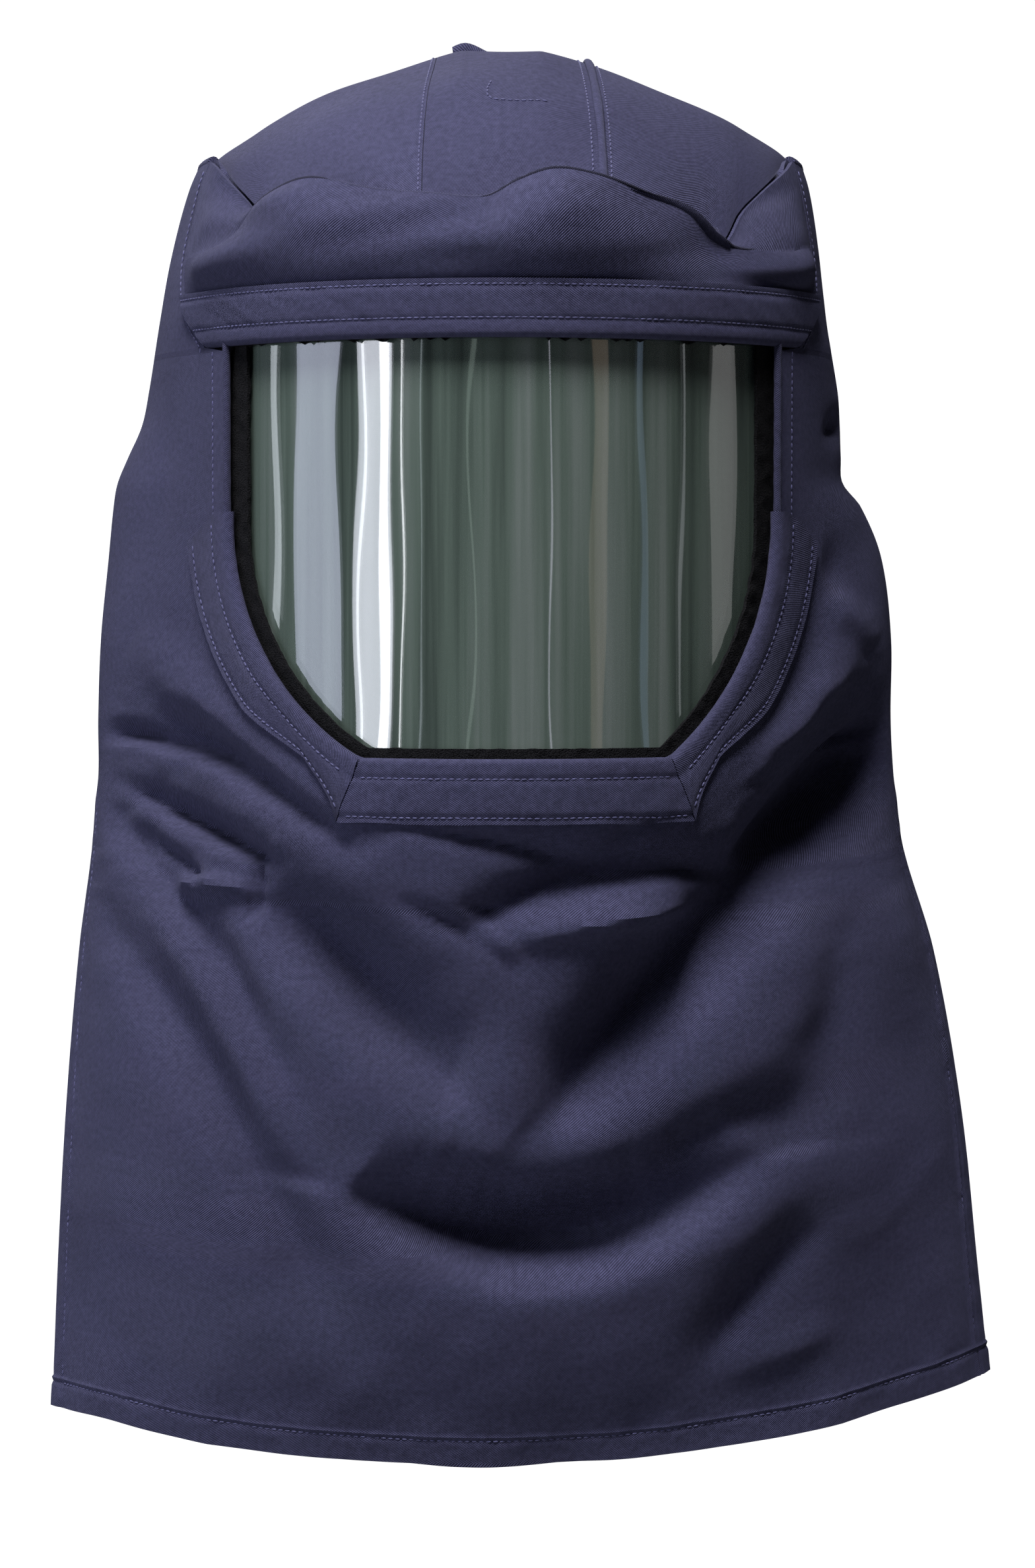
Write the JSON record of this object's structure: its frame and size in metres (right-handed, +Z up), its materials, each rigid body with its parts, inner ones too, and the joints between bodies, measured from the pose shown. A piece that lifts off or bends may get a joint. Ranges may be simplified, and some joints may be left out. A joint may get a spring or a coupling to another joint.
{
  "type": "arc flash hood",
  "caption": "Soft cloth protective hood with a curved tinted face shield, a folded brow, a seamed crown, and bibs that hang over the chest and the back.",
  "frame": {"origin": "the middle of the crown's inner face, where the hood sits on the head", "axes": "+Z up, -Y to the wearer's front, +X to the wearer's left"},
  "size_m": [0.4608, 0.3517, 0.6883],
  "materials": {
    "navy_twill": "matte twill weave with fine lint",
    "black_tape": "matte, fuzzy hook and loop",
    "tinted_shield": "clear, glossy, with a faint grey-green tint"
  },
  "bodies": {
    "root": {"front_panel": "navy_twill", "back_panel": "navy_twill", "brow_panel": "navy_twill", "crown_center_strip": "navy_twill", "crown_right_panel": "navy_twill", "crown_left_panel": "navy_twill", "rear_crown_fold": "navy_twill", "window_binding_top": "navy_twill", "window_binding_right": "navy_twill", "window_binding_left": "navy_twill", "window_binding_bottom": "navy_twill", "window_lip_top": "navy_twill", "window_lip_lower": "navy_twill", "hook_and_loop_tape": "black_tape", "face_shield": "tinted_shield", "front_hem": "navy_twill", "back_hem": "navy_twill", "front_side_hem_right": "navy_twill", "front_side_hem_left": "navy_twill"}
  },
  "joints": []
}
